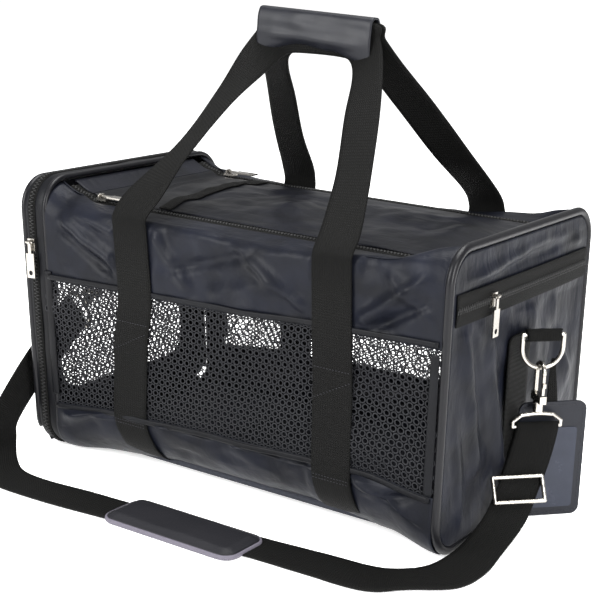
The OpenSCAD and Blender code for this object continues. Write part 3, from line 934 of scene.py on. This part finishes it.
top_turn = [((230.8, -38, 46), (257.8, -8, 46)), ((230.4, -26, 62), (257.4, 4, 62)), pair(-2.4, 89),
            pair(0, 95.6), pair(2.6, 91)]
floor_a = [(233, -22, 75), (232.4, -31, 58), (231.8, -46, 38), (231, -62, 22), (231, -95, 10),
           (230, -130, 6), (222, -152, 4), (205, -168, 3.2), (185, -173, 2), (150, -176, 1.8),
           (90, -182, 1.8), (20, -190, 4.5)]
floor_b = [(260, 8, 75), (259.4, -1, 57), (259, -16, 38), (259, -38, 15), (262, -85, 3.4),
           (268, -128, 2), (262, -165, 2), (232, -192, 2), (205, -216, 2), (150, -219, 1.8),
           (90, -222, 1.8), (20, -230, 4.5)]
belt("strap_pocket_end", [a for a, b in top_turn] + floor_a, [b for a, b in top_turn] + floor_b,
     webbing, "bag", ["strap_end_run"])

# %% [markdown]
# At the door end the run from the ring moves with the door, so the strap bends where
# it meets the floor.

# %% The strap to the door
door_a = [(20, -194, 4.5), (-56, -196, 1.8), (-110, -199, 1.8), (-150, -203, 1.8), (-185, -200, 2),
          (-210, -184, 3), (-228, -168, 8), (-236, -160, 15), (-240, -155, 26), (-246, -133, 41),
          (-250, -100, 63.5), (-252.4, -65, 84), (-252.3, -46, 98), (-252.0, -42.4, 102.6),
          (-255.0, -44.0, 104.0), (-256.4, -50, 98), (-255, -72, 80)]
door_b = [(20, -234, 4.5), (-56, -236, 1.8), (-105, -241, 1.8), (-150, -243, 1.8), (-192, -240, 2),
          (-218, -222, 3), (-230, -206, 8), (-236, -198, 15), (-240, -189, 42), (-247, -157, 69),
          (-252, -120, 96.5), (-254.6, -85, 116), (-254.6, -67, 129.6), (-254.4, -62.4, 134.6),
          (-257.4, -64.0, 136), (-258.8, -70, 130), (-257, -92, 111)]
belt("strap_door_end", door_a, door_b, webbing,
     ("bag", "door", (-0.222, -0.19, 0.004), (-0.238, -0.175, 0.022)),
     ["strap_door_floor", "strap_door_run"])

# %% [markdown]
# Each ring hangs in a tab: a short length of webbing sewn flat to the bag or the door
# and folded over the ring's bar. The door's ring hangs a little tilted.

# %% Ring tabs and the tag's strap
tab_a = [(227.4, -29, 62), (227.4, -29, 110), (227.4, -29, 158), (228.2, -28, 174)]
tab_b = [(227.4, 11, 62), (227.4, 11, 110), (227.6, 11, 158), (229.6, 12, 174)]
for n, z, half in ((-2.6, 179.0, 17.0), (0, 180.4, 16), (2.8, 178.4, 15.6), (3.2, 172.5, 15.5),
                   (0.6, 170.8, 15.5)):
    a, b = pair(n, z, half)
    tab_a.append(a)
    tab_b.append(b)
belt("ring_tab_pocket_end", tab_a, tab_b, webbing, "bag", ["end_ring_tab"])
TILT = math.radians(-12)
DOOR_RING_Z = 178.6


def door_tab(w, x, z):
    dz = z - DOOR_RING_Z
    return lean(x, w * math.cos(TILT) - dz * math.sin(TILT),
                DOOR_RING_Z + w * math.sin(TILT) + dz * math.cos(TILT))


rows = [(-232.8, 150), (-232.8, 178), (-233.4, 188), (-238, 186.6), (-243, 183.4), (-248, 180.6),
        (-248, 176), (-243.6, 174.6)]
belt("ring_tab_door_end", [lean(-232.8, -20, 150)] + [door_tab(-15.8, x, z) for x, z in rows[1:]],
     [lean(-232.8, 20, 150)] + [door_tab(15.8, x, z) for x, z in rows[1:]], webbing, "door",
     ["door_ring_tab"])
belt("tag_strap", [(246.9, 14.6, 111), (247.6, 13.6, 130), (249.6, 10.9, 150), (252.4, 7.4, 153.4)],
     [(253.5, 22, 111), (252.9, 18.5, 130), (252.9, 13.3, 150), (256.0, 9.6, 153.4)], webbing,
     "address_tag", ["id_tag_strap"], thick=1.2, wave=0)

# %% [markdown]
# The pad is foam in a smooth cover with a bound edge, and the webbing runs inside it.
# On the cabin floor a thin cushion lies on a board. Both are crowned slabs with round
# corners: a grid is thinned towards its rim and its outline is drawn down to the base.

# %% Pad and cushion
def pillow(wide, tall, thick, r, middle, base, puff):
    bm = bmesh.new()
    bmesh.ops.create_grid(bm, x_segments=60, y_segments=30, size=0.5)
    for vert in bm.verts:
        u, v = vert.co.x + 0.5, vert.co.y + 0.5
        x, y = corner_fit(u, v, wide, tall, r)
        rim = smooth(min(min(u, 1 - u) * wide, min(v, 1 - v) * tall) / thick)
        vert.co = Vector((x + middle[0], y + middle[1], base + thick * (0.55 + 0.45 * rim)
                          + puff * rim * noise.noise(Vector((x, y, 0)) * 0.03))) * MM
    solid = bmesh.ops.extrude_face_region(bm, geom=bm.faces[:])
    for vert in [g for g in solid["geom"] if isinstance(g, bmesh.types.BMVert)]:
        vert.co.z = base * MM
    bmesh.ops.recalc_face_normals(bm, faces=bm.faces[:])
    return bm


pad = put("shoulder_pad_cover", pillow(140, 52, 8.4, 12, (18, -213), 0.5, 1.2), pad_cloth, "bag",
          ["shoulder_pad"])


def binding_place(u, v):
    y, x, out = round_square(v, 0, 53.5, 141.5, 12.5, 18)
    a = 2 * math.pi * u
    return (x + out[1] * 1.5 * math.cos(a), y - 213 + out[0] * 1.5 * math.cos(a),
            2.7 + 2.2 * math.sin(a))


bm = lay(10, 160, binding_place, 9, 360)
bmesh.ops.remove_doubles(bm, verts=bm.verts[:], dist=WELD)
bmesh.ops.recalc_face_normals(bm, faces=bm.faces[:])
put("pad_binding", bm, pad_edge, "bag", ())
cushion = put("cabin_cushion", pillow(410, 211, 11.4, 14, (8, 0), 7.8, 1.5), fleece, "bag",
              ["base_cushion"])
print("padded pieces:", pad.name, cushion.name)

# %% [markdown]
# The parts whose shape in the frame is already right only get their finish: nickel
# rings, hooks, gates, sliders and pulls, the spring wires in the end frames, the
# board, and the vinyl tag with its clear pane.

# %% Finishes for the firm parts
firm_parts = {"base_board": board_black, "id_tag": tag_vinyl, "id_tag_window": tag_pane,
              "door_hoop_wire": steel_wire, "end_hoop_wire": steel_wire, "strap_adjuster": nickel}
for end in ("end", "door"):
    for part in ("ring", "hook", "hook_gate", "strap_ring"):
        firm_parts[end + "_" + part] = nickel
for name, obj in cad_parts.items():
    kind = nickel if "slider" in name else firm_parts.get(name)
    if kind:
        obj.data.materials.clear()
        obj.data.materials.append(kind)
print("firm parts finished:", len(firm_parts))

# %% [markdown]
# The tag's border is stitched: the walk round a rounded square gives each stitch its
# place and its direction on the tag's turned face.

# %% Stitches round the tag
TAG_X, TAG_Y = 251.2, 19.3
TAG_STITCHES = 96
border = []
for i in range(TAG_STITCHES):
    w, z, out = round_square(i / TAG_STITCHES, 3.2, 64, 108, 8, 57)
    turn = Matrix.Rotation(math.radians(48), 4, "Z") @ Matrix.Rotation(math.atan2(-out[0], out[1]),
                                                                       4, "Y")
    x, y = TAG_X + C * 1.3 - S * w, TAG_Y + S * 1.3 + C * w
    border.append(((x, y, z), turn))
stitches("tag_stitches", border, "address_tag")

# %% [markdown]
# The bag stands on a pale floor in a bright even surround. The floor glows a little,
# so that it stays as pale as a studio sweep without more lamps.

# %% Floor and surround
FLOOR_REACH = 30.0
scene = bpy.context.scene
scene.view_settings.view_transform = "Standard"
floor_bm = bmesh.new()
bmesh.ops.create_grid(floor_bm, x_segments=1, y_segments=1, size=FLOOR_REACH)
floor_mesh = bpy.data.meshes.new("floor")
floor_bm.to_mesh(floor_mesh)
floor_bm.free()
floor = bpy.data.objects.new("floor", floor_mesh)
floor.location.z = -0.0003
scene.collection.objects.link(floor)
paper, _, paper_shader = finish("studio paper", Roughness=0.9)
paper_shader.inputs["Base Color"].default_value = swatch("#fdfdfd")
paper_shader.inputs["Emission Color"].default_value = swatch("#ffffff")
paper_shader.inputs["Emission Strength"].default_value = 0.5
floor_mesh.materials.append(paper)

world = bpy.data.worlds.new("studio")
scene.world = world
world.use_nodes = True
world.node_tree.nodes["Background"].inputs["Color"].default_value = swatch("#fbfbfb")
world.node_tree.nodes["Background"].inputs["Strength"].default_value = 0.6


# %% [markdown]
# Soft light comes from three large softboxes: one at the left front, a second at the
# right and one overhead. They give the nylon its long soft highlights.

# %% Softboxes
def softbox(name, place, aim, wide, tall, power):
    lamp = bpy.data.lights.new(name, "AREA")
    lamp.shape, lamp.size, lamp.size_y, lamp.energy = "RECTANGLE", wide, tall, power
    obj = bpy.data.objects.new(name, lamp)
    obj.location = place
    obj.rotation_euler = (Vector(aim) - Vector(place)).to_track_quat("-Z", "Y").to_euler()
    scene.collection.objects.link(obj)


softbox("left softbox", (-0.9, -1.9, 1.1), (0, 0, 0.15), 1.0, 1.4, 80)
softbox("right softbox", (2.0, -0.9, 0.9), (0.1, 0, 0.15), 0.7, 1.4, 75)
softbox("overhead softbox", (0.1, 0.2, 2.0), (0, 0, 0.1), 1.6, 1.2, 75)

# %% [markdown]
# The camera looks from the pocket end's front corner, a little from above and with a
# slight roll. Its frame is built from the direction it looks back along.

# %% Camera
turn_az, turn_el, roll = math.radians(34.35), math.radians(15.4), math.radians(1.94)
back = Vector((math.sin(turn_az) * math.cos(turn_el), -math.cos(turn_az) * math.cos(turn_el),
               math.sin(turn_el)))
right = (-back).cross(Vector((0, 0, 1))).normalized()
up = right.cross(-back)
rolled_right = right * math.cos(roll) + up * math.sin(roll)
rolled_up = up * math.cos(roll) - right * math.sin(roll)
axes = Matrix((rolled_right, rolled_up, back)).transposed().to_4x4()
lens = bpy.data.cameras.new("camera")
lens.lens, lens.sensor_width, lens.shift_x, lens.shift_y = 88.67, 36, 0.0084, 0.0408
lens.clip_start, lens.clip_end = 0.05, 20
camera = bpy.data.objects.new("camera", lens)
camera.matrix_world = Matrix.Translation((0.7648, -1.1431, 0.5179)) @ axes
scene.collection.objects.link(camera)
scene.camera = camera
print("camera distance, m:", round(camera.matrix_world.translation.length, 2))
